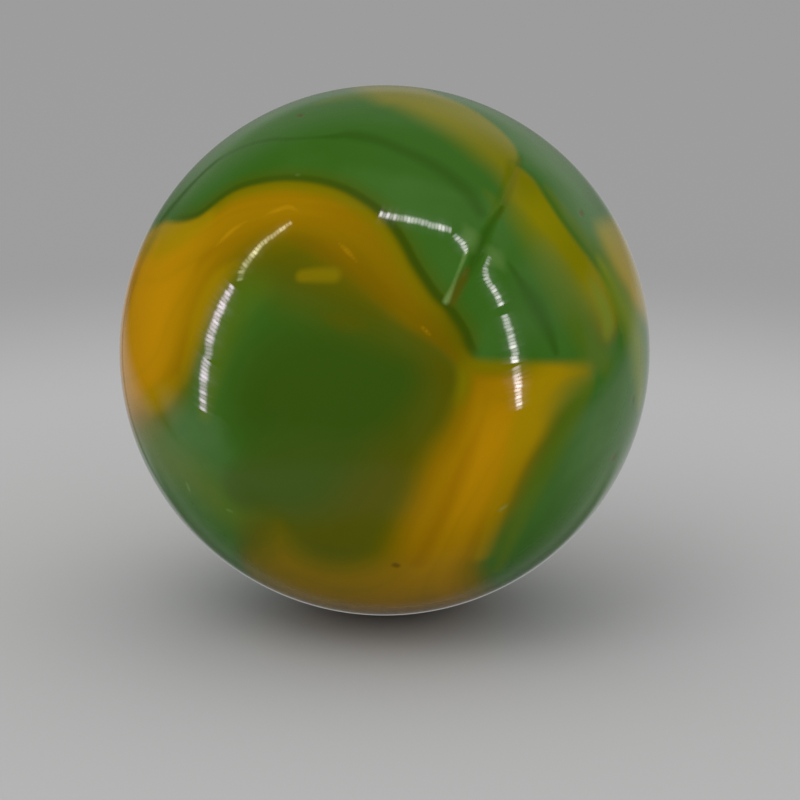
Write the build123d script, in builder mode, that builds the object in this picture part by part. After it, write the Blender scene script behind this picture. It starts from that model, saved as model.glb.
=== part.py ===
from build123d import *

import math
import os

# Glass marble: a solid ball of swirled glass with the shallow fold crease that its gob left.
# Millimetres and degrees. The origin is the ball's centre, +Z is up and -Y is the creased side.

# Ball
ball_diameter = 16.0  # common playing size

# Fold crease: a shallow valley along a great circle, deepest at its middle, run out at both ends
crease_length = 6.5
crease_width = 0.8
crease_depth = 0.05
crease_azimuth = 34.0  # its middle, from -Y towards +X
crease_elevation = 43.0  # its middle, above the equator
crease_lean = 45.0  # its upper end leans this far towards +X


def sagitta(radius, chord):
    """Height of an arc of this radius above its chord."""
    return radius - math.sqrt(radius**2 - (chord / 2) ** 2)


def arc_radius(chord, height):
    """Radius of the arc that stands this high above its chord."""
    return ((chord / 2) ** 2 + height**2) / (2 * height)


ball_radius = ball_diameter / 2

# The valley's section is an arc between its two lips, and its floor is a flatter arc than the ball
valley_radius = arc_radius(crease_width, crease_depth - sagitta(ball_radius, crease_width))
floor_radius = arc_radius(crease_length, sagitta(ball_radius, crease_length) - crease_depth)

# Directions at the crease's middle: out of the ball, and along the crease
outward = Vector(0, -1, 0).rotate(Axis.X, -crease_elevation).rotate(Axis.Z, crease_azimuth)
upward = Vector(0, 0, 1).rotate(Axis.X, -crease_elevation).rotate(Axis.Z, crease_azimuth)
along = upward.rotate(Axis((0, 0, 0), outward), -crease_lean)

floor_centre = outward * (ball_radius - crease_depth - floor_radius)
across_plane = Plane(origin=floor_centre, x_dir=outward, z_dir=along)

os.makedirs("parts", exist_ok=True)

# The ball, with the crease cut by a ring that stands clear of it everywhere else
with BuildPart() as marble:
    Sphere(radius=ball_radius)
    with BuildSketch(across_plane) as valley_section:
        with Locations((floor_radius + valley_radius, 0)):
            Circle(radius=valley_radius)
    revolve(axis=Axis(floor_centre, across_plane.y_dir), mode=Mode.SUBTRACT)

marble.part.label = "marble"
export_step(marble.part, "parts/marble.step")
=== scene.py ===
import math
import bpy
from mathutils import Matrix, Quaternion, Vector


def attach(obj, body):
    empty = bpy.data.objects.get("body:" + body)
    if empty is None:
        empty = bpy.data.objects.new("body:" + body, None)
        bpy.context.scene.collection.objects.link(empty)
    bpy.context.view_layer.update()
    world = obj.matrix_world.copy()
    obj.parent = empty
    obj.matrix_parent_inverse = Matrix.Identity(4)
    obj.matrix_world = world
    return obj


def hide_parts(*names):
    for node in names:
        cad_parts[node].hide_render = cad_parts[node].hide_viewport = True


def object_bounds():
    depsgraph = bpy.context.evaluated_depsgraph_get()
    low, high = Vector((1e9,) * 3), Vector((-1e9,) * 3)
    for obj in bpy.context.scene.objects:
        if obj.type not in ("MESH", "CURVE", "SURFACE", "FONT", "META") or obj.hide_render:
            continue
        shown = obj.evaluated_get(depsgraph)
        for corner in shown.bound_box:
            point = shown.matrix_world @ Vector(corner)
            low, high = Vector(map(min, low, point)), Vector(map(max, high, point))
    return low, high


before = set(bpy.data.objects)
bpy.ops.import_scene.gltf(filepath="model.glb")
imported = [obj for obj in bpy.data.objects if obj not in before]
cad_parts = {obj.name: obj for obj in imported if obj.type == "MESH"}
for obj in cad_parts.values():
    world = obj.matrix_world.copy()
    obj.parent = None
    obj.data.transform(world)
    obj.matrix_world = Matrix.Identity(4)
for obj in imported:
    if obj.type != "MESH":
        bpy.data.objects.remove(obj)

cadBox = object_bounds()
scene = bpy.context.scene
scene.view_settings.view_transform = "Standard"
ballRadius = (cadBox[1] - cadBox[0]).z / 2
mm = 0.001


# nodes

class Wire:                                    # one socket of a node tree, shader or geometry
    def __init__(self, tree, socket):
        self.tree = tree
        self.socket = socket

    @classmethod
    def node(cls, tree, kind, settings=None, feeds=None, out=0):
        made = tree.nodes.new(kind)
        for name, value in (settings or {}).items():
            if name == "stops":
                cls.setStops(made.color_ramp, value)
            else:
                setattr(made, name, value)
        for key, value in (feeds or {}).items():
            if isinstance(value, Wire):
                tree.links.new(value.socket, made.inputs[key])
            else:
                made.inputs[key].default_value = value
        return cls(tree, made.outputs[out])

    @staticmethod
    def setStops(ramp, stops):                 # stops of (place, colour)
        while len(ramp.elements) < len(stops):
            ramp.elements.new(1.0)
        for element, (place, colour) in zip(ramp.elements, stops):
            element.position = place
            element.color = colour

    def other(self, name):                     # another output of the same node
        return Wire(self.tree, self.socket.node.outputs[name])

    def maths(self, operation, *others):
        feeds = dict(enumerate((self, *others)))
        return Wire.node(self.tree, "ShaderNodeMath", {"operation": operation}, feeds)

    def vector(self, operation, *others, out=0):
        feeds = dict(enumerate((self, *others)))
        return Wire.node(self.tree, "ShaderNodeVectorMath", {"operation": operation}, feeds, out)

    def scaled(self, by):
        feeds = {0: self, "Scale": by}
        return Wire.node(self.tree, "ShaderNodeVectorMath", {"operation": "SCALE"}, feeds)

    def parts(self):                           # x, y and z of a vector
        split = Wire.node(self.tree, "ShaderNodeSeparateXYZ", feeds={0: self})
        return split, split.other("Y"), split.other("Z")

    def ramped(self, start, end):              # 0 at the start, 1 at the end, smooth between, flat beyond
        feeds = {"Value": self, "From Min": start, "From Max": end}
        return Wire.node(self.tree, "ShaderNodeMapRange", {"interpolation_type": "SMOOTHSTEP"}, feeds)

    def rise(self, low, high):
        return self.ramped(low, high)

    def fall(self, low, high):
        return self.ramped(high, low)

    def between(self, low, high):              # a colour between two, by this number
        feeds = {0: self, 6: low, 7: high}
        return Wire.node(self.tree, "ShaderNodeMix", {"data_type": "RGBA"}, feeds, out=2)

    def painted(self, colour, mask):           # this colour with another laid over it by a mask
        return mask.between(self, colour)

    def ramp(self, *stops):
        return Wire.node(self.tree, "ShaderNodeValToRGB", {"stops": stops}, {0: self})

    def toOutput(self, kind):
        made = self.tree.nodes.new("ShaderNodeOutput" + kind)
        self.tree.links.new(self.socket, made.inputs["Surface"])

    def __add__(self, other):
        return self.maths("ADD", other)

    def __sub__(self, other):
        return self.maths("SUBTRACT", other)

    def __rsub__(self, other):
        return (self * -1) + other

    def __mul__(self, other):
        return self.maths("MULTIPLY", other)

    def __truediv__(self, other):
        return self.maths("DIVIDE", other)

    def __rtruediv__(self, other):
        return Wire.node(self.tree, "ShaderNodeMath", {"operation": "DIVIDE"}, {0: other, 1: self})

    __radd__ = __add__
    __rmul__ = __mul__


def eye(red, green, blue):                     # a colour as the eye reads it, 0 to 255, in linear light
    shares = (c / 255 for c in (red, green, blue))
    return (*(s / 12.92 if s < 0.04 else ((s + 0.055) / 1.055) ** 2.4 for s in shares), 1.0)


def groupInputs(tree, sockets):                # named inputs of a geometry tree, as wires and identifiers
    made = {}
    for name, kind, value in sockets:
        item = tree.interface.new_socket(name=name, in_out="INPUT", socket_type="NodeSocket" + kind)
        if value is not None:
            item.default_value = value
        made[name] = item.identifier
    tree.interface.new_socket(name="Geometry", in_out="OUTPUT", socket_type="NodeSocketGeometry")
    entry = tree.nodes.new("NodeGroupInput")
    return {name: Wire(tree, entry.outputs[name]) for name in made}, made


def groupOutput(tree, geometry, material):     # plain geometry in one material
    geometry = Wire.node(tree, "GeometryNodeRealizeInstances", feeds={"Geometry": geometry})
    feeds = {"Geometry": geometry, "Material": material}
    geometry = Wire.node(tree, "GeometryNodeSetMaterial", feeds=feeds)
    treeOutput(tree, geometry)


def stored(geometry, name, value, kind="FLOAT", domain="POINT"):   # geometry with a named value on it
    settings = {"data_type": kind, "domain": domain}
    feeds = {"Geometry": geometry, "Name": name, "Value": value}
    return Wire.node(geometry.tree, "GeometryNodeStoreNamedAttribute", settings, feeds)


def treeOutput(tree, geometry):
    tree.links.new(geometry.socket, tree.nodes.new("NodeGroupOutput").inputs["Geometry"])


def addModifier(obj, tree, identifiers, values):
    made = obj.modifiers.new(tree.name, "NODES")
    made.node_group = tree
    for name, value in values.items():
        made[identifiers[name]] = value


def settle(obj):                               # turns the modifiers' result into a plain mesh
    graph = bpy.context.evaluated_depsgraph_get()
    shown = obj.evaluated_get(graph)
    made = bpy.data.meshes.new_from_object(shown, preserve_all_data_layers=True, depsgraph=graph)
    old = obj.data
    obj.modifiers.clear()
    obj.data = made
    made.name = obj.name
    bpy.data.meshes.remove(old)


def plainMaterial(name):                       # a material without nodes, and its tree
    material = bpy.data.materials.new(name)
    material.use_nodes = True
    material.node_tree.nodes.clear()
    return material, material.node_tree


def newObject(name, data):
    made = bpy.data.objects.new(name, data)
    scene.collection.objects.link(made)
    return made


def curveObject(name, lines):                  # lines of (point, radius)
    data = bpy.data.curves.new(name, "CURVE")
    data.dimensions = "3D"
    for line in lines:
        spline = data.splines.new("POLY")
        spline.points.add(len(line) - 1)
        for point, (place, radius) in zip(spline.points, line):
            point.co = (*place, 1)
            point.radius = radius
    return newObject(name, data)


# camera

photo = {
    "framePx": 800,
    "ballCentrePx": (384.6, 350.2),
    "ballRadiusPx": 265.3,
    "elevation": 15.0,                         # degrees above the horizon
    "distance": 170 * mm,                      # to the ball's centre
    "sensor": 36.0,                            # millimetres across
    "clipStart": 10 * mm,
}

focalPx = photo["ballRadiusPx"] / math.tan(math.asin(ballRadius / photo["distance"]))
middlePx = photo["framePx"] / 2
tilt = math.radians(photo["elevation"])
toCamera = Vector((0, -math.cos(tilt), math.sin(tilt)))
eyePoint = toCamera * photo["distance"]
yaw = math.atan((photo["ballCentrePx"][0] - middlePx) / focalPx)
pitch = math.atan((photo["ballCentrePx"][1] - middlePx) / focalPx)
aim = (-toCamera).to_track_quat("-Z", "Y") @ Quaternion((0, 1, 0), yaw) @ Quaternion((1, 0, 0), pitch)

camera = newObject("camera", bpy.data.cameras.new("camera"))
camera.data.sensor_width = photo["sensor"]
camera.data.lens = focalPx * photo["sensor"] / photo["framePx"]
camera.data.clip_start = photo["clipStart"]
camera.location = eyePoint
camera.rotation_mode = "QUATERNION"
camera.rotation_quaternion = aim
scene.camera = camera
print(f"camera: {camera.data.lens:.0f} mm lens")


def pixelRay(x, y):
    return (aim @ Vector(((x - middlePx) / focalPx, (middlePx - y) / focalPx, -1))).normalized()


def onBall(x, y, far=False):                   # the ball's surface at a pixel, or its far side there
    ray = pixelRay(x, y)
    closest = -eyePoint.dot(ray)
    reach = math.sqrt(max(ballRadius**2 - (eyePoint + ray * closest).length_squared, 0))
    return (eyePoint + ray * (closest + (reach if far else -reach))).normalized() * ballRadius


def seenInGloss(x, y, reach):                  # the point this far off that a pixel's gloss shows
    ray = pixelRay(x, y)
    spot = onBall(x, y)
    outward = spot.normalized()
    return spot + (ray - 2 * ray.dot(outward) * outward) * reach


# traced lines of the swirl, and of painted shade and reflections on it
# Points are pixels: x, y, then millimetres of softness for an outline or half width for a streak,
# or for a core how thick the yellow is, 0 to 1. "far" is the ball's other side at that pixel.
# An outline keeps its glass on the left of its walk.

outlines = {
    "mainRibbon": [                            # arch, its run round the back, and the band below it
        (588, 372, 0.6), (580, 366, 0.4), (562, 363, 0.22), (535, 362, 0.2), (505, 361, 0.2),
        (486, 360, 0.2), (474, 357, 0.15), (467, 346, 0.1), (462, 333, 0.1), (453, 319, 0.1),
        (444, 307, 0.1), (433, 296, 0.1), (422, 280, 0.1), (411, 263, 0.1), (402, 246, 0.1),
        (391, 229, 0.1), (377, 213, 0.1), (359, 200, 0.1), (340, 190, 0.1), (320, 184, 0.1),
        (298, 181, 0.1), (278, 181, 0.1), (258, 184, 0.1), (240, 189, 0.1), (228, 195, 0.1),
        (218, 202, 0.1), (208, 210, 0.1), (198, 217, 0.12), (186, 221, 0.13), (175, 222, 0.15),
        (164, 222, 0.2), (153, 228, 0.3), (152, 240, 0.4, "far"), (180, 262, 0.5, "far"),
        (222, 298, 0.6, "far"), (268, 345, 0.6, "far"), (305, 392, 0.6, "far"), (325, 428, 0.5, "far"),
        (318, 448, 0.5, "far"), (290, 452, 0.5, "far"), (250, 445, 0.6, "far"), (205, 432, 0.6, "far"),
        (165, 420, 0.6, "far"), (138, 431, 0.8), (153, 424, 0.8), (168, 413, 0.75), (181, 399, 0.65),
        (191, 378, 0.55), (198, 357, 0.5), (206, 333, 0.5), (214, 314, 0.55), (223, 297, 0.6),
        (238, 277, 0.65), (255, 266, 0.7), (274, 258, 0.8), (297, 256, 0.85), (321, 270, 0.8),
        (343, 283, 0.6), (363, 296, 0.4), (385, 312, 0.27), (407, 328, 0.22), (428, 342, 0.2),
        (444, 353, 0.2), (454, 366, 0.2), (457, 383, 0.2), (452, 402, 0.26), (444, 423, 0.34),
        (429, 446, 0.45), (416, 471, 0.5), (405, 496, 0.5), (392, 520, 0.5), (381, 541, 0.45),
        (371, 553, 0.4), (348, 560, 0.4), (322, 557, 0.4), (303, 546, 0.35), (291, 532, 0.3),
        (279, 521, 0.3), (266, 529, 0.3), (254, 545, 0.35), (245, 562, 0.4), (275, 582, 0.5, "far"),
        (320, 570, 0.5, "far"), (360, 540, 0.5, "far"), (390, 500, 0.5, "far"), (410, 460, 0.5, "far"),
        (430, 435, 0.5, "far"), (452, 450, 0.5, "far"), (465, 490, 0.5, "far"), (478, 530, 0.5, "far"),
        (490, 560, 0.5, "far"), (483, 575, 0.45), (489, 553, 0.5), (500, 530, 0.52), (514, 506, 0.55),
        (526, 480, 0.58), (538, 456, 0.6), (550, 434, 0.7), (558, 411, 0.95), (567, 391, 1.0),
        (578, 380, 0.85),
    ],
    "topRibbon": [                             # over the top, down to the crease
        (372, 98, 0.5), (396, 106, 0.6), (421, 117, 0.65), (442, 128, 0.7), (461, 141, 0.7),
        (479, 156, 0.7), (496, 171, 0.65), (506, 187, 0.5), (510, 200, 0.35), (513, 184, 0.3),
        (517, 168, 0.22), (518, 156, 0.16), (513, 144, 0.16), (501, 131, 0.18), (485, 118, 0.22),
        (464, 105, 0.25), (445, 97, 0.3), (427, 90, 0.35), (412, 88, 0.4, "far"), (397, 97, 0.45, "far"),
        (380, 117, 0.5, "far"), (355, 150, 0.5, "far"), (327, 198, 0.5, "far"), (305, 250, 0.5, "far"),
        (298, 290, 0.45, "far"), (285, 285, 0.45, "far"), (275, 245, 0.5, "far"), (280, 195, 0.5, "far"),
        (295, 150, 0.5, "far"), (315, 115, 0.5, "far"), (330, 97, 0.5, "far"),
    ],
    "tailRibbon": [                            # from the crease down the right
        (514, 164, 0.2), (510, 176, 0.25), (507, 188, 0.35), (508, 200, 0.45), (520, 216, 0.6),
        (532, 232, 0.65), (548, 250, 0.7), (565, 273, 0.75), (580, 296, 0.75), (592, 317, 0.65),
        (599, 333, 0.5), (606, 341, 0.45), (615, 333, 0.4), (618, 317, 0.35), (613, 298, 0.3),
        (602, 277, 0.25), (588, 257, 0.22), (574, 239, 0.2), (558, 217, 0.18), (545, 197, 0.18),
        (534, 180, 0.18), (522, 169, 0.16),
    ],
    "sideRibbon": [                            # at the right edge and behind it
        (597, 230, 0.45), (600, 240, 0.55), (606, 255, 0.6), (615, 274, 0.65), (627, 293, 0.65),
        (637, 312, 0.55), (640, 335, 0.4, "far"), (620, 370, 0.5, "far"), (588, 402, 0.55, "far"),
        (550, 427, 0.55, "far"), (515, 442, 0.5, "far"), (492, 446, 0.45, "far"), (500, 432, 0.45, "far"),
        (530, 408, 0.5, "far"), (560, 375, 0.55, "far"), (583, 335, 0.55, "far"), (597, 292, 0.5, "far"),
        (602, 255, 0.5, "far"), (602, 232, 0.4, "far"), (603, 221, 0.35),
    ],
    "deepGlass": [                             # dark green inside the arch
        (235, 425, 1.3), (270, 452, 1.4), (320, 468, 1.4), (375, 475, 1.3), (405, 455, 1.0),
        (432, 410, 0.8), (448, 372, 0.6), (428, 352, 0.6), (398, 335, 0.8), (365, 320, 1.0),
        (335, 312, 1.2), (300, 315, 1.4), (268, 328, 1.4), (245, 350, 1.4), (232, 385, 1.3),
    ],
    "oliveHaze": [                             # yellow that has bled into the green beside the ribbon
        (276, 292, 0.9), (306, 308, 0.9), (345, 323, 0.9), (386, 341, 0.9), (415, 360, 0.7),
        (422, 388, 0.8), (406, 420, 1.0), (384, 450, 1.1), (354, 480, 1.1), (330, 505, 1.0),
        (300, 515, 0.9), (270, 512, 0.8), (245, 525, 0.6), (250, 570, 0.5), (320, 580, 0.5),
        (400, 570, 0.5), (440, 480, 0.5), (470, 400, 0.5), (470, 365, 0.5), (430, 330, 0.5),
        (385, 295, 0.5), (340, 250, 0.5), (295, 225, 0.5), (250, 240, 0.6),
    ],
}

cores = {
    "goldCore": [
        [(250, 370, 0.6, "far"), (190, 350, 0.7, "far"), (150, 335, 0.8, "far"), (128, 330, 1.0),
         (150, 322, 1.0), (162, 280, 0.98), (190, 248, 0.88), (225, 225, 0.75), (255, 212, 0.72),
         (290, 205, 0.72), (320, 212, 0.65), (350, 232, 0.55), (390, 272, 0.44), (430, 318, 0.34),
         (460, 348, 0.1), (480, 372, 0.7), (512, 402, 0.85), (505, 430, 0.94), (490, 470, 0.94),
         (475, 510, 0.9), (455, 550, 0.78), (440, 575, 0.7), (420, 600, 0.6), (430, 560, 0.5, "far"),
         (430, 480, 0.5, "far")],
        [(150, 345, 1.0), (150, 372, 1.0), (148, 420, 0.95)],
        [(180, 400, 0.7), (191, 368, 0.76), (198, 335, 0.8), (207, 308, 0.8), (220, 280, 0.7),
         (242, 262, 0.5), (262, 256, 0.35)],
        [(290, 254, 0.5), (330, 266, 0.52), (360, 288, 0.48)],
        [(535, 390, 0.72), (558, 382, 0.45), (586, 373, 0.15)],
        [(272, 530, 0.3), (268, 555, 0.4), (300, 575, 0.45), (350, 580, 0.5), (400, 585, 0.6)],
    ],
    "lemonCore": [
        [(300, 270, 0.5, "far"), (320, 180, 0.5, "far"), (350, 110, 0.5, "far"), (385, 96, 0.55),
         (440, 110, 0.6), (490, 143, 0.5), (512, 165, 0.55)],
        [(519, 166, 0.45), (523, 185, 0.4), (537, 208, 0.72), (557, 232, 0.65), (577, 254, 0.5),
         (594, 280, 0.65), (605, 308, 0.5), (610, 330, 0.15)],
        [(602, 220, 0.7), (625, 260, 1.0), (645, 300, 1.0), (620, 340, 0.8, "far"),
         (570, 395, 0.6, "far"), (505, 440, 0.4, "far")],
    ],
}

streaks = {
    "darkStreaks": [
        # The first line is a painted dark reflection of an edge in the surroundings; the second is a dark
        # streak in the glass.
        [(162, 221, 0.3), (176, 203, 0.4), (192, 184, 0.4), (209, 167, 0.3), (230, 153, 0.2),
         (248, 145, 0.18), (268, 140, 0.18), (288, 139, 0.16), (306, 138, 0.14), (322, 137, 0.16),
         (336, 136, 0.25), (352, 135, 0.4), (380, 141, 0.4), (405, 151, 0.4), (430, 163, 0.45),
         (452, 178, 0.45), (470, 195, 0.45), (480, 212, 0.35)],
        [(508, 262, 0.1), (522, 284, 0.3), (535, 305, 0.5), (548, 330, 0.4), (556, 352, 0.2)],
    ],
    "paleStreaks": [
        # The first two lines and the last are painted reflections of light in the yellow; the third is a
        # pale streak in it.
        [(214, 248, 0.06), (224, 238, 0.13), (234, 229, 0.13), (247, 221, 0.06)],
        [(263, 216, 0.06), (275, 211, 0.12), (288, 207, 0.13), (298, 211, 0.08)],
        [(338, 243, 0.06), (347, 251, 0.12), (358, 263, 0.06)],
        [(421, 326, 0.08), (427, 332, 0.1), (430, 335, 0.08)],
    ],
    "paleBar": [
        [(302, 276, 0.3), (318, 275, 0.36), (333, 275, 0.36)],
    ],
    "amberStreaks": [
        [(292, 238, 0.3), (324, 250, 0.6), (350, 266, 0.8), (376, 289, 0.8), (405, 315, 0.8),
         (432, 336, 0.7), (450, 356, 0.5)],
        [(482, 420, 0.2), (468, 456, 0.4), (455, 484, 0.5), (443, 512, 0.5), (430, 540, 0.5),
         (419, 562, 0.5)],
        [(194, 272, 0.2), (202, 260, 0.3), (216, 249, 0.3), (240, 236, 0.2)],
    ],
    "mossStreaks": [
        [(588, 372, 0.9), (574, 378, 1.1), (548, 392, 1.35), (531, 424, 1.05), (514, 466, 0.6),
         (497, 512, 0.5), (484, 555, 0.5)],
        [(142, 240, 0.8), (160, 238, 1.1), (180, 232, 1.0), (205, 220, 0.6)],
        [(148, 402, 0.6), (164, 396, 0.6), (178, 382, 0.4)],
        [(184, 378, 0.4), (192, 350, 0.5), (199, 325, 0.6), (207, 302, 0.6), (219, 282, 0.6),
         (234, 268, 0.4)],
    ],
    "warmHaze": [
        [(204, 412, 0.5), (213, 370, 0.7), (223, 330, 1.0), (240, 297, 1.1), (262, 282, 0.9)],
        [(133, 425, 1.4), (150, 445, 1.8), (190, 475, 1.6), (230, 510, 1.6), (262, 525, 1.4)],
        [(512, 218, 0.6), (540, 258, 0.8), (566, 302, 0.9), (590, 345, 0.9), (604, 362, 0.8)],
        [(548, 190, 0.4), (566, 215, 0.6), (586, 240, 0.7), (600, 262, 0.7)],
        [(486, 192, 0.25), (497, 206, 0.4), (490, 222, 0.2)],
        [(592, 385, 0.3), (578, 408, 0.7), (561, 438, 0.8), (547, 465, 0.8), (533, 493, 0.7),
         (519, 522, 0.6), (507, 548, 0.5), (498, 570, 0.4)],
        [(316, 104, 0.3), (338, 98, 0.7), (362, 95, 0.8)],
    ],
    "limeHaze": [
        [(600, 262, 0.4), (611, 283, 0.8), (621, 303, 1.0), (631, 322, 1.25), (638, 342, 1.3),
         (640, 362, 1.2), (641, 382, 0.9), (640, 402, 0.5)],
        [(592, 284, 0.3), (602, 303, 0.55), (608, 318, 0.7), (607, 332, 0.45)],
    ],
    "duskHaze": [
        [(245, 490, 1.2), (275, 485, 2.0), (320, 482, 2.4), (370, 465, 1.6)],
    ],
    "oliveStreaks": [
        [(326, 316, 0.3), (345, 321, 0.5), (364, 326, 0.3)],
        [(438, 362, 0.2), (449, 376, 0.35), (447, 396, 0.35), (438, 415, 0.25)],
    ],
    "rimShade": [
        [(125, 324, 0.2), (127, 310, 0.35), (131, 294, 0.4), (138, 271, 0.4), (152, 241, 0.4),
         (164, 220, 0.3)],
    ],
    "rimGlow": [
        [(129, 335, 0.3), (133, 310, 0.5), (143, 275, 0.6), (156, 247, 0.4)],
    ],
    "creaseShade": [
        [(503, 206, 0.12), (491, 225, 0.24), (483, 241, 0.34), (476, 257, 0.36), (468, 272, 0.32),
         (460, 286, 0.24), (454, 298, 0.15)],
    ],
    "creaseDark": [
        # painted shade along the crease's upper edge
        [(521, 156, 0.1), (519, 166, 0.16), (514, 183, 0.16), (507, 200, 0.16), (499, 217, 0.14)],
    ],
    "creaseRust": [
        # darker brown along the crease's lower end
        [(468, 268, 0.15), (463, 279, 0.26), (457, 290, 0.3), (452, 302, 0.25)],
    ],
    "creaseHaze": [
        # painted pale reflections of light beside the crease's lips
        [(465, 226, 0.2), (470, 237, 0.5), (472, 248, 0.3)],
        [(490, 250, 0.3), (496, 258, 0.5), (504, 270, 0.2)],
    ],
    "creasePale": [
        # painted glint of light along the crease's left lip
        [(466, 252, 0.12), (462, 263, 0.1), (457, 275, 0.09), (452, 288, 0.11), (446, 301, 0.17)],
    ],
    "darkSpecks": [
        [(299, 115, 0.14), (301, 116, 0.14)], [(633, 398, 0.14), (633, 400, 0.14)],
        [(615, 457, 0.16), (613, 459, 0.16)], [(582, 212, 0.14), (581, 214, 0.14)],
        [(395, 565, 0.17), (397, 566, 0.17)],
    ],
    "paleSpecks": [
        [(187, 484, 0.12), (189, 490, 0.12)], [(227, 510, 0.1), (231, 511, 0.1)],
        [(500, 510, 0.12), (506, 506, 0.12)], [(296, 175, 0.08), (299, 175, 0.08)],
    ],
}

crease = {                                     # the solid's own fold, in its own sizes
    "length": 6.5,
    "width": 0.8,
    "valley": 0.55,                            # share of the width that is steep enough to show
    "depth": 0.05,
    "azimuth": 34.0,
    "elevation": 43.0,
    "lean": 45.0,
    "points": 13,
    "least": 0.02,                             # half width that is left at its ends
}


def creaseLine():                              # along a great circle, narrowing to nothing at both ends
    place = Quaternion((0, 0, 1), math.radians(crease["azimuth"]))
    place = place @ Quaternion((1, 0, 0), math.radians(-crease["elevation"]))
    outward = place @ Vector((0, -1, 0))
    along = Quaternion(outward, math.radians(-crease["lean"])) @ (place @ Vector((0, 0, 1)))
    halfAngle = math.asin(crease["length"] * mm / 2 / ballRadius)
    line = []
    for i in range(crease["points"]):
        share = 2 * i / (crease["points"] - 1) - 1
        spot = outward * math.cos(halfAngle * share) + along * math.sin(halfAngle * share)
        half = crease["width"] * crease["valley"] / 2 * math.sqrt(1 - share**2)
        line.append((spot * ballRadius, max(half, crease["least"])))
    return line


def traced(points):
    return [(onBall(x, y, bool(far)), radius) for x, y, radius, *far in points]


# geometry of the ball

ballShape = {
    "cells": 128,                              # along each edge of the cube that is blown into the ball
    "traceStep": 0.04,                         # millimetres between the points that a line is measured from
    "outlineBlur": 12,                         # rounds of smoothing for softness and thickness
    "coreBlur": 60,
    "waveHeight": 0.004,                       # millimetres of hand-rolled unevenness
    "waveScale": 0.45,                         # waves a millimetre
    "pitDepth": 0.012,                         # of a speck
}


def ballTree():                                # a gridded cube blown out to a sphere of even cells
    tree = bpy.data.node_groups.new("blowBall", "GeometryNodeTree")
    wires, ids = groupInputs(tree, [("Cells", "Int", 8), ("Radius", "Float", 1.0)])
    sides = wires["Cells"] + 1
    feeds = {"Size": (2, 2, 2), "Vertices X": sides, "Vertices Y": sides, "Vertices Z": sides}
    cube = Wire.node(tree, "GeometryNodeMeshCube", feeds=feeds)
    unwrapped = stored(cube, "OFBake", cube.other("UV Map"), "FLOAT2", "CORNER")
    corner = Wire.node(tree, "GeometryNodeInputPosition").scaled(math.pi / 4).vector("TANGENT")
    place = corner.vector("NORMALIZE").scaled(wires["Radius"])
    feeds = {"Geometry": unwrapped, "Position": place}
    treeOutput(tree, Wire.node(tree, "GeometryNodeSetPosition", feeds=feeds))
    return tree, ids


def traceTree():                               # measures each point of the ball from a line drawn on it
    tree = bpy.data.node_groups.new("traceLine", "GeometryNodeTree")
    wires, ids = groupInputs(tree, [
        ("Geometry", "Geometry", None), ("Line", "Object", None), ("Name", "String", ""),
        ("Closed", "Bool", False), ("Step", "Float", 1.0), ("Radius", "Float", 1.0), ("Blur", "Int", 0),
    ])
    line = Wire.node(tree, "GeometryNodeObjectInfo", feeds={"Object": wires["Line"]}).other("Geometry")
    feeds = {"Geometry": line, "Cyclic": wires["Closed"]}
    line = Wire.node(tree, "GeometryNodeSetSplineCyclic", feeds=feeds)
    line = Wire.node(tree, "GeometryNodeCurveSplineType", {"spline_type": "CATMULL_ROM"}, {"Curve": line})
    feeds = {"Curve": line, "Length": wires["Step"]}
    line = Wire.node(tree, "GeometryNodeResampleCurve", {"mode": "LENGTH"}, feeds)
    here = Wire.node(tree, "GeometryNodeInputPosition")
    lifted = here.vector("NORMALIZE").scaled(wires["Radius"])
    line = Wire.node(tree, "GeometryNodeSetPosition", feeds={"Geometry": line, "Position": lifted})
    dots = Wire.node(tree, "GeometryNodeCurveToPoints", {"mode": "EVALUATED"}, {"Curve": line})
    feeds = {"Geometry": dots, "Sample Position": here}
    nearest = Wire.node(tree, "GeometryNodeSampleNearest", feeds=feeds)

    def sample(kind, value):
        feeds = {"Geometry": dots, "Value": value, "Index": nearest}
        return Wire.node(tree, "GeometryNodeSampleIndex", {"data_type": kind}, feeds)

    spot = sample("FLOAT_VECTOR", here)
    heading = sample("FLOAT_VECTOR", dots.other("Tangent"))
    radius = sample("FLOAT", Wire.node(tree, "GeometryNodeInputRadius"))
    feeds = {"Value": radius, "Iterations": wires["Blur"]}
    radius = Wire.node(tree, "GeometryNodeBlurAttribute", feeds=feeds)
    away = here.vector("SUBTRACT", spot).scaled(1 / mm)
    leftward = spot.vector("CROSS_PRODUCT", heading).vector("NORMALIZE")
    inside = away.vector("DOT_PRODUCT", leftward, out=1)
    apart = away.vector("LENGTH", out=1)
    measured = Wire.node(tree, "ShaderNodeCombineXYZ", feeds={0: inside, 1: apart, 2: radius})
    treeOutput(tree, stored(wires["Geometry"], wires["Name"], measured, "FLOAT_VECTOR"))
    return tree, ids


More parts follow.
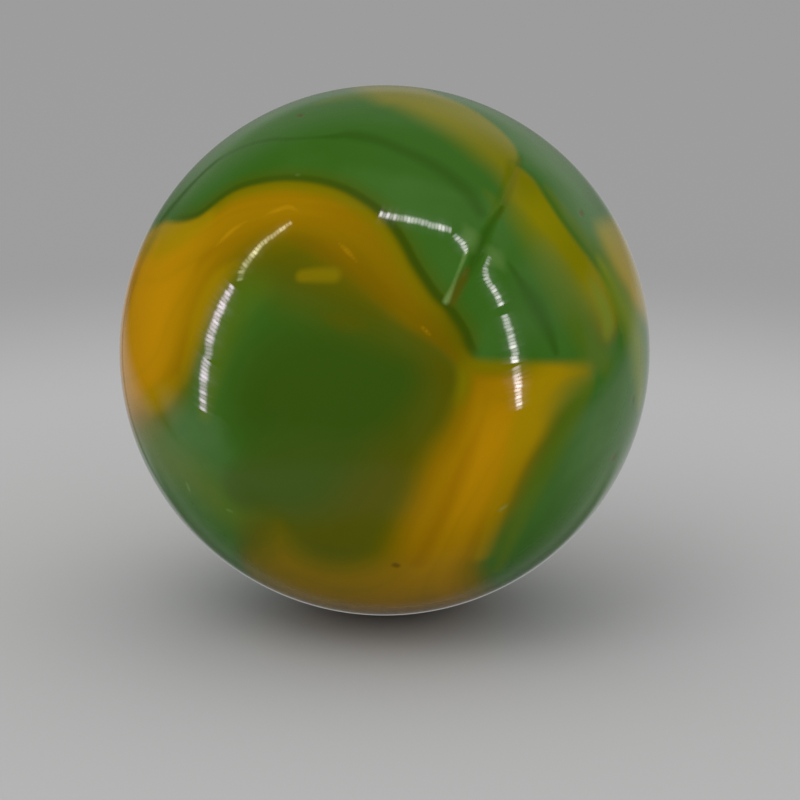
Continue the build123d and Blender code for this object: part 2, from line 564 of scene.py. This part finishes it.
def surfaceTree():                             # the fold crease, the pits and a slight unevenness
    tree = bpy.data.node_groups.new("workSurface", "GeometryNodeTree")
    wires, ids = groupInputs(tree, [
        ("Geometry", "Geometry", None), ("Crease Depth", "Float", 0.0), ("Crease Width", "Float", 1.0),
        ("Pit Depth", "Float", 0.0), ("Wave Height", "Float", 0.0), ("Wave Scale", "Float", 1.0),
        ("Material", "Material", None),
    ])

    def dent(name):                            # 1 at a line's middle, 0 at its half width
        settings = {"data_type": "FLOAT_VECTOR"}
        measured = Wire.node(tree, "GeometryNodeInputNamedAttribute", settings, {"Name": name})
        apart, half = measured.parts()[1:]
        reach = (1 - (apart / half) * (apart / half)).maths("MAXIMUM", 0.0)
        return reach * reach, half

    fold, half = dent("crease")
    taper = half / (wires["Crease Width"] / 2)
    pits = dent("darkSpecks")[0] + dent("paleSpecks")[0]
    here = Wire.node(tree, "GeometryNodeInputPosition")
    feeds = {"Vector": here.scaled(1 / mm), "Scale": wires["Wave Scale"], "Detail": 1.0}
    wave = (Wire.node(tree, "ShaderNodeTexNoise", feeds=feeds) - 0.5) * wires["Wave Height"]
    lift = wave - fold * taper * taper * wires["Crease Depth"] - pits * wires["Pit Depth"]
    feeds = {"Geometry": wires["Geometry"], "Offset": here.vector("NORMALIZE").scaled(lift * mm)}
    made = Wire.node(tree, "GeometryNodeSetPosition", feeds=feeds)
    made = Wire.node(tree, "GeometryNodeSetShadeSmooth", feeds={"Geometry": made})
    groupOutput(tree, made, wires["Material"])
    return tree, ids


def makeBall(material):
    ball = newObject("swirlBall", bpy.data.meshes.new("swirlBall"))
    addModifier(ball, *ballTree(), {"Cells": ballShape["cells"], "Radius": ballRadius})
    tree, ids = traceTree()
    guides = []

    def trace(name, lines, closed=False, blur=0):
        guides.append(curveObject(name, lines))
        addModifier(ball, tree, ids, {
            "Line": guides[-1], "Name": name, "Closed": closed, "Blur": blur,
            "Step": ballShape["traceStep"] * mm, "Radius": ballRadius,
        })

    for name, points in outlines.items():
        trace(name, [traced(points)], True, ballShape["outlineBlur"])
    for name, lines in cores.items():
        trace(name, [traced(points) for points in lines], blur=ballShape["coreBlur"])
    for name, lines in streaks.items():
        trace(name, [traced(points) for points in lines])
    trace("crease", [creaseLine()])
    addModifier(ball, *surfaceTree(), {
        "Crease Depth": crease["depth"], "Crease Width": crease["width"] * crease["valley"],
        "Pit Depth": ballShape["pitDepth"], "Wave Height": ballShape["waveHeight"],
        "Wave Scale": ballShape["waveScale"], "Material": material,
    })
    settle(ball)
    for guide in guides:
        bpy.data.curves.remove(guide.data)
    print(f"ball: {len(ball.data.polygons)} faces, {len(guides)} traced lines")
    return ball


# swirled glass, its colour with painted shade and reflections laid in

glass = {
    "leaf": eye(52, 94, 24),
    "leafPale": eye(60, 101, 34),
    "deep": eye(52, 79, 14),
    "olive": eye(86, 81, 1),
    "warm": eye(84, 103, 16),                  # green with a little yellow in it
    "shade": eye(42, 76, 10),                  # dark streaks, painted crease shade and a painted dark reflection
    "edge": eye(50, 65, 0),                    # dark line along a ribbon's sharp edge
    "edgeHaze": eye(72, 85, 4),                # green beside it
    "lime": eye(106, 121, 20),                 # thin yellow by the right edge
    "dusk": eye(62, 82, 20),                   # dull green low in the arch
    "moss": eye(154, 127, 3),                  # lemon yellow
    "rim": eye(116, 109, 1),                   # yellow beside a sharp edge
    "gold": ((0.0, eye(78, 86, 2)), (0.3, eye(108, 95, 1)), (0.6, eye(138, 105, 1)),
             (0.8, eye(156, 117, 2)), (1.0, eye(180, 130, 5))),
    "lemon": ((0.0, eye(98, 88, 1)), (0.5, eye(112, 110, 2)), (0.75, eye(125, 119, 2)),
              (1.0, eye(146, 126, 6))),
    "amber": eye(122, 82, 0),                  # darker runs in the yellow
    "straw": eye(182, 136, 14),                # its brightest lines, and painted glints of light in it
    "bar": eye(128, 112, 5),                   # pale bar inside the arch
    "darkSpeckAndCreaseShade": eye(78, 58, 2),                    # dark specks, and painted shade along the crease's upper edge
    # umber: brown in the crease, and a painted dark reflection along the left edge
    "umber": eye(82, 76, 14),
    "paleFleckAndGlint": eye(122, 150, 84),                # pale flecks, and painted glints and reflections by the crease
    "roughness": 0.03,
    "roughMore": 0.03,                         # in the dullest patches
    "roughWaves": 1.6,                         # patches a millimetre
    "roughFrom": (0.45, 0.8),
    "ior": 1.5,
    "foldGloss": 0.01,                         # what is left of the gloss inside the crease
}

swirl = {                                      # how the glass runs; lengths are millimetres
    "driftWaves": 0.12,                        # waves a millimetre of the slow wander
    "mainWaves": 0.8,                          # of the green, away from the main and the top ribbon
    "topWaves": 0.5,
    "flowDrift": 6.0,                          # how far the wander carries them
    "flowShare": 0.6,
    "mottleWaves": 0.5,
    "mottleShare": 0.4,
    "flowFrom": (0.4, 0.7),
    "deepShare": 0.95,
    "oliveShare": 0.8,
    "grainWaves": 1.4,                         # of the yellow, along the main ribbon
    "grainDrift": 8.0,
    "grainShare": 0.2,
    "thinSoft": 0.4,                           # softest edge that still thins the yellow
    "thinFrom": (-0.5, 3.5),                   # in softnesses from the edge
    "thinShare": 0.6,
    "sharpSoft": (0.21, 0.3),                  # softness of a sharp edge, and of a crisp one
    "crispSoft": (0.11, 0.18),
    "rimFrom": (0.15, 0.65),                   # from the edge inwards
    "rimCore": (0.2, 0.6),
    "rimShare": 0.85,
    "hazeFrom": (-0.8, -0.1),
    "hazeShare": 0.6,
    "lineOuter": (-0.32, -0.16),               # dark line along a crisp edge
    "lineInner": (-0.1, 0.22),
    "lineLeft": 0.42,                          # its strength at the left, and what the right adds
    "lineRight": 0.26,
    "lineAcross": (-3.0, 1.0),
    "tailOuter": (-0.35, -0.1),                # dark line along the tail
    "tailInner": (-0.1, 0.1),
    "tailSoft": (0.2, 0.35),
    "tailShare": 0.2,
    "foldFull": 0.6,                           # share of the crease's shade that has no gloss
}

# Streaks in the order that they are laid: name, colour, share of the half width that is full,
# half width in millimetres that gives the full strength (0 for any), strength.
layers = {
    "green": [
        ("warmHaze", "warm", 0.0, 0.5, 0.6),
        ("duskHaze", "dusk", 0.3, 0.0, 0.85),
    ],
    "shades": [
        ("oliveStreaks", "olive", 0.0, 0.5, 0.45),
        ("darkStreaks", "shade", 0.0, 0.2, 0.62),
        ("creaseShade", "shade", 0.0, 0.0, 0.75),
    ],
    "yellow": [
        ("mossStreaks", "moss", 0.25, 1.0, 0.9),
        ("amberStreaks", "amber", 0.0, 0.6, 0.38),
    ],
    "arch": [
        ("paleBar", "bar", 0.2, 0.0, 0.75),
        ("paleStreaks", "straw", 0.0, 0.2, 0.7),
        ("rimGlow", "straw", 0.0, 0.5, 0.3),
        ("rimShade", "umber", 0.0, 0.35, 0.24),
    ],
    "ribbons": [
        ("limeHaze", "lime", 0.0, 0.6, 0.85),
    ],
    "surface": [
        ("creaseDark", "darkSpeckAndCreaseShade", 0.0, 0.0, 0.2),
        ("creaseRust", "umber", 0.0, 0.26, 0.75),
        ("creaseHaze", "paleFleckAndGlint", 0.0, 0.5, 0.25),
        ("creasePale", "paleFleckAndGlint", 0.0, 0.17, 0.7),
        ("darkSpecks", "darkSpeckAndCreaseShade", 0.2, 0.0, 0.7),
        ("paleSpecks", "paleFleckAndGlint", 0.2, 0.0, 0.25),
    ],
}


def glassMaterial():
    material, tree = plainMaterial("swirlGlass")
    place = Wire.node(tree, "ShaderNodeTexCoord").other("Object").scaled(1 / mm)

    def noise(waves, detail):
        feeds = {"Vector": place, "Scale": waves, "Detail": detail}
        return Wire.node(tree, "ShaderNodeTexNoise", feeds=feeds)

    def lineNoise(along, detail):              # noise along one number only
        feeds = {"W": along, "Scale": 1.0, "Detail": detail}
        return Wire.node(tree, "ShaderNodeTexNoise", {"noise_dimensions": "1D"}, feeds)

    def measured(name):
        return Wire.node(tree, "ShaderNodeAttribute", {"attribute_name": name}).other("Vector").parts()

    def filled(name):                          # mask of an outline's glass, distance inside, softness
        inside, soft = measured(name)[::2]
        return (inside / soft).rise(-1, 1), inside, soft

    def drawn(name, inner, full=0.0):          # mask of streaks, 1 along their middle where they are full
        apart, half = measured(name)[1:]
        mask = (apart / half).fall(inner, 1)
        return mask * half.rise(0, full) if full else mask

    def streaked(base, layer):
        for name, tint, inner, full, strength in layers[layer]:
            base = base.painted(glass[tint], drawn(name, inner, full) * strength)
        return base

    drift = noise(swirl["driftWaves"], 1.0)
    main, mainIn, mainSoft = filled("mainRibbon")
    top, topIn = filled("topRibbon")[:2]
    tail, tailIn, tailSoft = filled("tailRibbon")
    side = filled("sideRibbon")[0]

    run = mainIn * swirl["mainWaves"] + topIn * swirl["topWaves"] + drift * swirl["flowDrift"]
    mottle = noise(swirl["mottleWaves"], 3.0)
    flow = lineNoise(run, 1.0) * swirl["flowShare"] + mottle * swirl["mottleShare"]
    colour = flow.rise(*swirl["flowFrom"]).between(glass["leaf"], glass["leafPale"])
    colour = colour.painted(glass["deep"], filled("deepGlass")[0] * swirl["deepShare"])
    colour = streaked(colour, "green")
    colour = colour.painted(glass["olive"], filled("oliveHaze")[0] * swirl["oliveShare"])
    colour = streaked(colour, "shades")

    grain = lineNoise(mainIn * swirl["grainWaves"] + drift * swirl["grainDrift"], 2.0) - 0.5
    thin = (mainIn / mainSoft.maths("MINIMUM", swirl["thinSoft"])).rise(*swirl["thinFrom"])
    core = measured("goldCore")[2]
    thick = core * (thin * swirl["thinShare"] + (1 - swirl["thinShare"])) + grain * swirl["grainShare"]
    yellow = thick.ramp(*glass["gold"])
    rim = mainIn.fall(*swirl["rimFrom"]) * mainSoft.fall(*swirl["sharpSoft"]) * core.rise(*swirl["rimCore"])
    yellow = yellow.painted(glass["rim"], rim * swirl["rimShare"])
    yellow = streaked(yellow, "yellow")
    crisp = mainSoft.fall(*swirl["crispSoft"])
    haze = mainIn.rise(*swirl["hazeFrom"]) * crisp * swirl["hazeShare"]
    colour = colour.painted(glass["edgeHaze"], haze)
    colour = colour.painted(yellow, main)
    colour = streaked(colour, "arch")
    line = mainIn.rise(*swirl["lineOuter"]) * mainIn.fall(*swirl["lineInner"]) * crisp
    across = place.parts()[0].rise(*swirl["lineAcross"])
    colour = colour.painted(glass["edge"], line * (across * swirl["lineRight"] + swirl["lineLeft"]))

    lemon = measured("lemonCore")[2].ramp(*glass["lemon"])
    ribbons = top.maths("MAXIMUM", tail).maths("MAXIMUM", side)
    colour = colour.painted(lemon, ribbons)
    colour = streaked(colour, "ribbons")
    tailLine = tailIn.rise(*swirl["tailOuter"]) * tailIn.fall(*swirl["tailInner"])
    tailLine = tailLine * tailSoft.fall(*swirl["tailSoft"]) * swirl["tailShare"]
    colour = colour.painted(glass["shade"], tailLine)
    colour = streaked(colour, "surface")

    dull = noise(glass["roughWaves"], 4.0).rise(*glass["roughFrom"])
    rough = dull * glass["roughMore"] + glass["roughness"]
    feeds = {"Base Color": colour, "Roughness": rough, "IOR": glass["ior"]}
    outer = Wire.node(tree, "ShaderNodeBsdfPrincipled", feeds=feeds)
    feeds["Specular IOR Level"] = glass["foldGloss"]
    fold = Wire.node(tree, "ShaderNodeBsdfPrincipled", feeds=feeds)
    feeds = {0: drawn("creaseShade", swirl["foldFull"]), 1: outer, 2: fold}
    Wire.node(tree, "ShaderNodeMixShader", feeds=feeds).toOutput("Material")
    print("glass: painted")
    return material


# floor, light and the surroundings that the gloss shows

stage = {
    "floorRadius": 600 * mm,
    "floorSides": 64,
    "floorNear": 0.43,                         # grey of the floor by the ball
    "floorFarShaded": 0.312,                         # and well behind it: painted shade, darker where less light would reach
    "floorBounce": 0.8,                        # its grey for the soft light that it sends back up
    "fade": (24 * mm, 44 * mm),                # from the ball's middle
    "backdrop": 0.33,
    "skyLight": 1.0,                           # soft light from all round
    "shadeGlow": 0.012,                        # left side and front in the gloss
    "backGlow": 0.33,                          # wall behind, and what its right end adds
    "backMore": 0.26,
    "groundGlow": 0.42,                        # floor beside and behind
    "frontGlow": 0.1,                          # floor in front
    "sideGlow": 0.22,                          # right side
    "seamDark": 0.55,                          # seam in the wall behind, at the left
    "wingGlow": 0.14,                          # between the right side and the wall behind
    "roofGlow": 0.15,
    "beadReach": 200 * mm,                     # from the ball to the rows of beads
    "openReach": 320 * mm,                     # and to the dark open front behind them
    "openGlow": 0.012,
    "keyPower": 0.2,
    "keyPlace": (-120 * mm, -160 * mm, 320 * mm),
    "keySize": 220 * mm,
}

# Rows of light beads, laid where the ball's gloss shows them: x, y, strength, width in millimetres.
beadRows = {
    "coolBeads": [
        [(203, 409, 6.5, 10), (203, 395, 7, 11), (203.5, 378, 8, 13), (206.5, 361, 9, 13)],
        [(208, 357, 7.5, 12), (209, 345, 7.5, 13), (211, 335, 7.5, 13), (214.5, 325, 9, 12),
         (218, 316, 9, 12), (222, 305, 9, 12), (227, 296, 9, 11), (232, 287, 7.5, 9)],
    ],
    "strawBeads": [
        [(240, 279, 2.5, 8), (242, 270, 3.5, 9), (247, 262, 6, 9), (252, 256, 8, 8), (259, 247, 8, 7),
         (268, 239, 8, 7), (279, 231, 8, 6), (290, 223, 5, 5)],
    ],
    "whiteBeads": [
        [(381, 214, 10, 8), (395, 217, 8, 9), (412, 220, 7, 9), (422, 222.5, 8, 9), (436, 226.5, 11, 9),
         (450, 230, 6, 8)],
        [(455, 236, 4, 7), (460, 241, 8, 8), (465, 247, 8, 8), (468, 253, 6, 7)],
        [(488, 257, 4, 7), (485, 267, 4, 7), (486, 276, 6, 8), (490, 284, 8, 8), (496, 294, 12, 8),
         (501, 304, 10, 8)],
        [(505, 316, 9, 9), (509, 330, 9, 10), (512, 340, 8, 10), (514, 350, 11, 10), (515, 361, 12, 10)],
        [(516, 368, 7, 11), (518, 378, 10, 11), (518, 392, 11, 9), (519, 408, 9, 8)],
    ],
}
bead = {
    "pitch": 4.6 * mm,
    "spread": 6.0,                             # width of its halo, in widths
    "halo": 0.1,                               # share of the light that is in the halo
    "edge": (0.4, 1.8),                        # where it fades sideways, in half widths
    "gap": (0.3, 1.0),                         # where it fades towards the next, in half pitches
    "gapDark": 0.4,
    "gain": 1.3,
    "unevenness": 0.55,                        # of the strength, from bead to bead
    "wander": 0.12,                            # sideways, in widths
    "coolBeads": (1.0, 0.82, 1.03, 1.0),
    "strawBeads": (1.0, 0.95, 0.58, 1.0),
    "whiteBeads": (1.0, 0.92, 0.97, 1.0),
    "seed": 4,
}

openFront = [                                  # edge of the dark front in the gloss, round from lower left
    (204, 410), (220, 417), (245, 434), (280, 449), (330, 454), (380, 455), (430, 451), (470, 443),
    (505, 425), (519, 408), (517, 370), (512, 345), (503, 310), (490, 283), (475, 252), (450, 231),
    (415, 221), (380, 213), (340, 208), (300, 217), (270, 237), (245, 262), (226, 293), (212, 330),
    (206, 360),
]


def glossOnly(obj):
    for ray in ("camera", "diffuse", "shadow", "transmission", "volume_scatter"):
        setattr(obj, "visible_" + ray, False)


def makeFloor():
    mesh = bpy.data.meshes.new("floor")
    sides = range(stage["floorSides"])
    turns = [2 * math.pi * i / len(sides) for i in sides]
    corners = [Vector((math.cos(turn), math.sin(turn), 0)) * stage["floorRadius"] for turn in turns]
    mesh.from_pydata([corner - Vector((0, 0, ballRadius)) for corner in corners], [], [sides])
    floor = newObject("floor", mesh)
    material, tree = plainMaterial("paleFloor")
    x, y = Wire.node(tree, "ShaderNodeTexCoord").other("Object").parts()[:2]
    apart = Wire.node(tree, "ShaderNodeCombineXYZ", feeds={0: x, 1: y}).vector("LENGTH", out=1)
    near, far = ((stage[key],) * 3 + (1,) for key in ("floorNear", "floorFarShaded"))
    # painted shade: the floor's grey turns darker away from the ball
    grey = apart.rise(*stage["fade"]).between(near, far)
    bounce = (stage["floorBounce"],) * 3 + (1,)
    grey = grey.painted(bounce, Wire.node(tree, "ShaderNodeLightPath").other("Is Diffuse Ray"))
    Wire.node(tree, "ShaderNodeBsdfDiffuse", feeds={"Color": grey}).toOutput("Material")
    mesh.materials.append(material)
    floor.visible_glossy = False


def beadTree():                                # light beads along lines, each facing the ball
    tree = bpy.data.node_groups.new("beadRows", "GeometryNodeTree")
    wires, ids = groupInputs(tree, [
        ("Line", "Object", None), ("Pitch", "Float", 1.0), ("Spread", "Float", 1.0), ("Seed", "Int", 0),
        ("Unevenness", "Float", 0.0), ("Wander", "Float", 0.0), ("Material", "Material", None),
    ])

    def luck(reach, salt):                     # a number for each bead, within this reach of 0
        feeds = {2: reach * -1, 3: reach, "Seed": wires["Seed"] + salt}
        return Wire.node(tree, "FunctionNodeRandomValue", feeds=feeds, out=1)

    line = Wire.node(tree, "GeometryNodeObjectInfo", feeds={"Object": wires["Line"]}).other("Geometry")
    line = Wire.node(tree, "GeometryNodeCurveSplineType", {"spline_type": "CATMULL_ROM"}, {"Curve": line})
    line = stored(line, "glow", Wire.node(tree, "GeometryNodeInputCurveTilt"))
    feeds = {"Curve": line, "Length": wires["Pitch"]}
    dots = Wire.node(tree, "GeometryNodeCurveToPoints", {"mode": "LENGTH"}, feeds)
    glow = Wire.node(tree, "GeometryNodeInputNamedAttribute", {"data_type": "FLOAT"}, {"Name": "glow"})
    lit = stored(dots, "glow", glow * (1 + luck(wires["Unevenness"], 0)))
    inward = Wire.node(tree, "GeometryNodeInputPosition").scaled(-1.0)
    width = Wire.node(tree, "GeometryNodeInputRadius") * mm
    aside = inward.vector("CROSS_PRODUCT", dots.other("Tangent")).vector("NORMALIZE")
    feeds = {"Geometry": lit, "Offset": aside.scaled(width * luck(wires["Wander"], 1))}
    lit = Wire.node(tree, "GeometryNodeSetPosition", feeds=feeds)
    turn = Wire.node(tree, "FunctionNodeAlignRotationToVector", {"axis": "Z"}, {"Vector": inward})
    feeds = {"Rotation": turn, "Vector": dots.other("Tangent")}
    turn = Wire.node(tree, "FunctionNodeAlignRotationToVector", {"axis": "X", "pivot_axis": "Z"}, feeds)
    feeds = {"Size X": 1, "Size Y": 1, "Vertices X": 2, "Vertices Y": 2}
    tile = Wire.node(tree, "GeometryNodeMeshGrid", feeds=feeds)
    tile = stored(tile, "tile", tile.other("UV Map"), "FLOAT2", "CORNER")
    feeds = {0: wires["Pitch"], 1: width * wires["Spread"], 2: 1.0}
    size = Wire.node(tree, "ShaderNodeCombineXYZ", feeds=feeds)
    feeds = {"Points": lit, "Instance": tile, "Rotation": turn, "Scale": size}
    groupOutput(tree, Wire.node(tree, "GeometryNodeInstanceOnPoints", feeds=feeds), wires["Material"])
    return tree, ids


def beadMaterial(name):                        # bright bead in a faint glow, clear where it is dark
    material, tree = plainMaterial(name)
    tile = Wire.node(tree, "ShaderNodeAttribute", {"attribute_name": "tile"}).other("Vector")
    along, across = ((part - 0.5).maths("ABSOLUTE") * 2 for part in tile.parts()[:2])
    core = (across * bead["spread"]).fall(*bead["edge"]) * (1 - along.rise(*bead["gap"]) * bead["gapDark"])
    halo = (1 - across) * (1 - across) * bead["halo"]
    glow = Wire.node(tree, "ShaderNodeAttribute", {"attribute_name": "glow"}).other("Fac")
    glow = glow * (core + halo) * bead["gain"]
    light = Wire.node(tree, "ShaderNodeEmission", feeds={"Color": bead[name], "Strength": glow})
    clear = Wire.node(tree, "ShaderNodeBsdfTransparent")
    Wire.node(tree, "ShaderNodeAddShader", feeds={0: light, 1: clear}).toOutput("Material")
    return material


def makeSurroundings():
    reach = stage["beadReach"]
    tree, ids = beadTree()
    for name, rows in beadRows.items():
        lines = [[(seenInGloss(x, y, reach), width) for x, y, glow, width in row] for row in rows]
        guide = curveObject(name + "Lines", lines)
        for spline, row in zip(guide.data.splines, rows):
            for point, spot in zip(spline.points, row):
                point.tilt = spot[2]           # carries the bead's strength along the line
        beads = newObject(name, bpy.data.meshes.new(name))
        addModifier(beads, tree, ids, {
            "Line": guide, "Pitch": bead["pitch"], "Spread": bead["spread"], "Seed": bead["seed"],
            "Unevenness": bead["unevenness"], "Wander": bead["wander"], "Material": beadMaterial(name),
        })
        settle(beads)
        bpy.data.curves.remove(guide.data)
        glossOnly(beads)

    mesh = bpy.data.meshes.new("openFront")
    reach = stage["openReach"]
    rim = [seenInGloss(x, y, reach) for x, y in openFront]
    middle = sum(rim, Vector()) / len(rim)
    fan = [(0, i + 1, (i + 1) % len(rim) + 1) for i in range(len(rim))]
    mesh.from_pydata([middle.normalized() * reach, *rim], [], fan)
    material, tree = plainMaterial("openDark")
    Wire.node(tree, "ShaderNodeEmission", feeds={"Strength": stage["openGlow"]}).toOutput("Material")
    mesh.materials.append(material)
    glossOnly(newObject("openFront", mesh))


# The surroundings by direction: x right, y back, z up, each -1 to 1, and slants that are sums of them.
# A patch is the product of its ramps, each from 0 at its first number to 1 at its second.
slants = {
    "floorEdge": (0.1, 0.35, -1.0),
    "floorTurn": (-0.15, 1.0, 0.0),
    "backEdge": (1.0, 0.0, 0.8),
}
patches = {
    "floor": [("floorEdge", 0.385, 0.525)],
    "floorLeft": [("z", -0.2, -0.38), ("y", 0.5, 0.25), ("x", -0.6, -0.9)],
    "floorBeside": [("floorTurn", -0.25, 0.1)],
    "floorFront": [("z", -0.5, -0.65), ("z", -0.95, -0.8), ("y", -0.1, -0.3), ("x", 0.35, 0.0)],
    "back": [("backEdge", -0.6, -0.2)],
    "backRight": [("x", 0.0, 0.8), ("z", 0.0, 0.3)],
    "backCorner": [("x", 0.55, 0.7), ("z", 0.1, 0.3), ("z", 0.5, 0.4)],
    "backReach": [("cornered", 0.5, 0.85)],
    "side": [("x", 0.7, 0.9), ("z", 0.05, 0.3), ("z", 0.75, 0.5), ("y", 0.3, 0.05)],
    "wing": [("x", 0.75, 0.88), ("y", 0.05, 0.2), ("y", 0.56, 0.43), ("z", -0.24, -0.08), ("z", 0.3, 0.15)],
    "roof": [("z", 0.6, 0.75), ("x", -0.4, 0.2)],
    "seam": [("bent", -0.39, -0.34), ("bent", -0.29, -0.34), ("y", 0.78, 0.86), ("z", 0.3, 0.2)],
}
dims = {                                       # share that a patch loses, and the ramps where it does
    "floorBeside": [
        (0.9, [("z", -0.4, -0.85)]),
        (0.3, [("y", 0.3, 0.6), ("x", 0.0, -0.5)]),
        (0.65, [("y", 0.65, 0.8), ("z", -0.4, -0.5)]),
        (0.1, [("x", 0.2, 0.6)]),
    ],
    "backRight": [(0.8, [("z", 0.42, 0.6)])],
    "backReach": [
        (0.35, [("z", 0.15, 0.35), ("x", 0.5, 0.0)]),
        (0.4, [("z", 0.2, -0.15)]),
    ],
    "roof": [(0.4, [("y", -0.05, 0.25)])],
}
bends = [                                      # how far the seam leans to the left over each ramp upwards
    (0.075, [("z", -0.2, -0.04)]),
    (0.035, [("z", 0.0, 0.1)]),
    (-0.035, [("z", 0.14, 0.24)]),
]
cornerReach = 0.1                              # how much farther round the back wall goes at its corner


def makeWorld():
    world = bpy.data.worlds.new("softTent")
    scene.world = world
    world.cycles.sampling_method = "NONE"      # each ray finds its own share of the sky
    world.use_nodes = True
    tree = world.node_tree
    tree.nodes.clear()
    x, y, z = Wire.node(tree, "ShaderNodeTexCoord").parts()
    ways = {"x": x, "y": y, "z": z}
    for name, (right, behind, up) in slants.items():
        ways[name] = x * right + y * behind + z * up

    def product(ramps):
        made = 1.0
        for way, start, end in ramps:
            made = ways[way].ramped(start, end) * made
        return made

    def patch(name):
        made = product(patches[name])
        for share, ramps in dims.get(name, []):
            made = made * (1 - product(ramps) * share)
        return made

    ways["cornered"] = y + patch("backCorner") * cornerReach
    ways["bent"] = x + sum(product(ramps) * far for far, ramps in bends)
    floor = patch("floor").maths("MAXIMUM", patch("floorLeft"))
    back = patch("back") * stage["backGlow"] + patch("backRight") * stage["backMore"]
    walls = floor * patch("floorBeside") * stage["groundGlow"] + back * patch("backReach") * (1 - floor)
    for name, glow in (("floorFront", "frontGlow"), ("side", "sideGlow"), ("wing", "wingGlow"),
                       ("roof", "roofGlow")):
        walls = walls + patch(name) * stage[glow]
    walls = (walls + stage["shadeGlow"]) * (1 - patch("seam") * stage["seamDark"])
    path = Wire.node(tree, "ShaderNodeLightPath")
    seen = path.other("Is Camera Ray")
    gloss = path.other("Is Glossy Ray")
    plain = (1 - seen) * (1 - gloss)
    strength = plain * stage["skyLight"] + seen * stage["backdrop"] + gloss * walls
    feeds = {"Color": (1, 1, 1, 1), "Strength": strength}
    Wire.node(tree, "ShaderNodeBackground", feeds=feeds).toOutput("World")


def makeKey():
    lamp = bpy.data.lights.new("key", "AREA")
    lamp.size = stage["keySize"]
    lamp.energy = stage["keyPower"]
    key = newObject("key", lamp)
    key.location = stage["keyPlace"]
    key.rotation_mode = "QUATERNION"
    key.rotation_quaternion = (-Vector(stage["keyPlace"])).to_track_quat("-Z", "Y")
    key.visible_glossy = False


makeFloor()
makeSurroundings()
makeWorld()
makeKey()
print("stage: set")

ball = makeBall(glassMaterial())
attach(ball, "root")
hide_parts("marble")
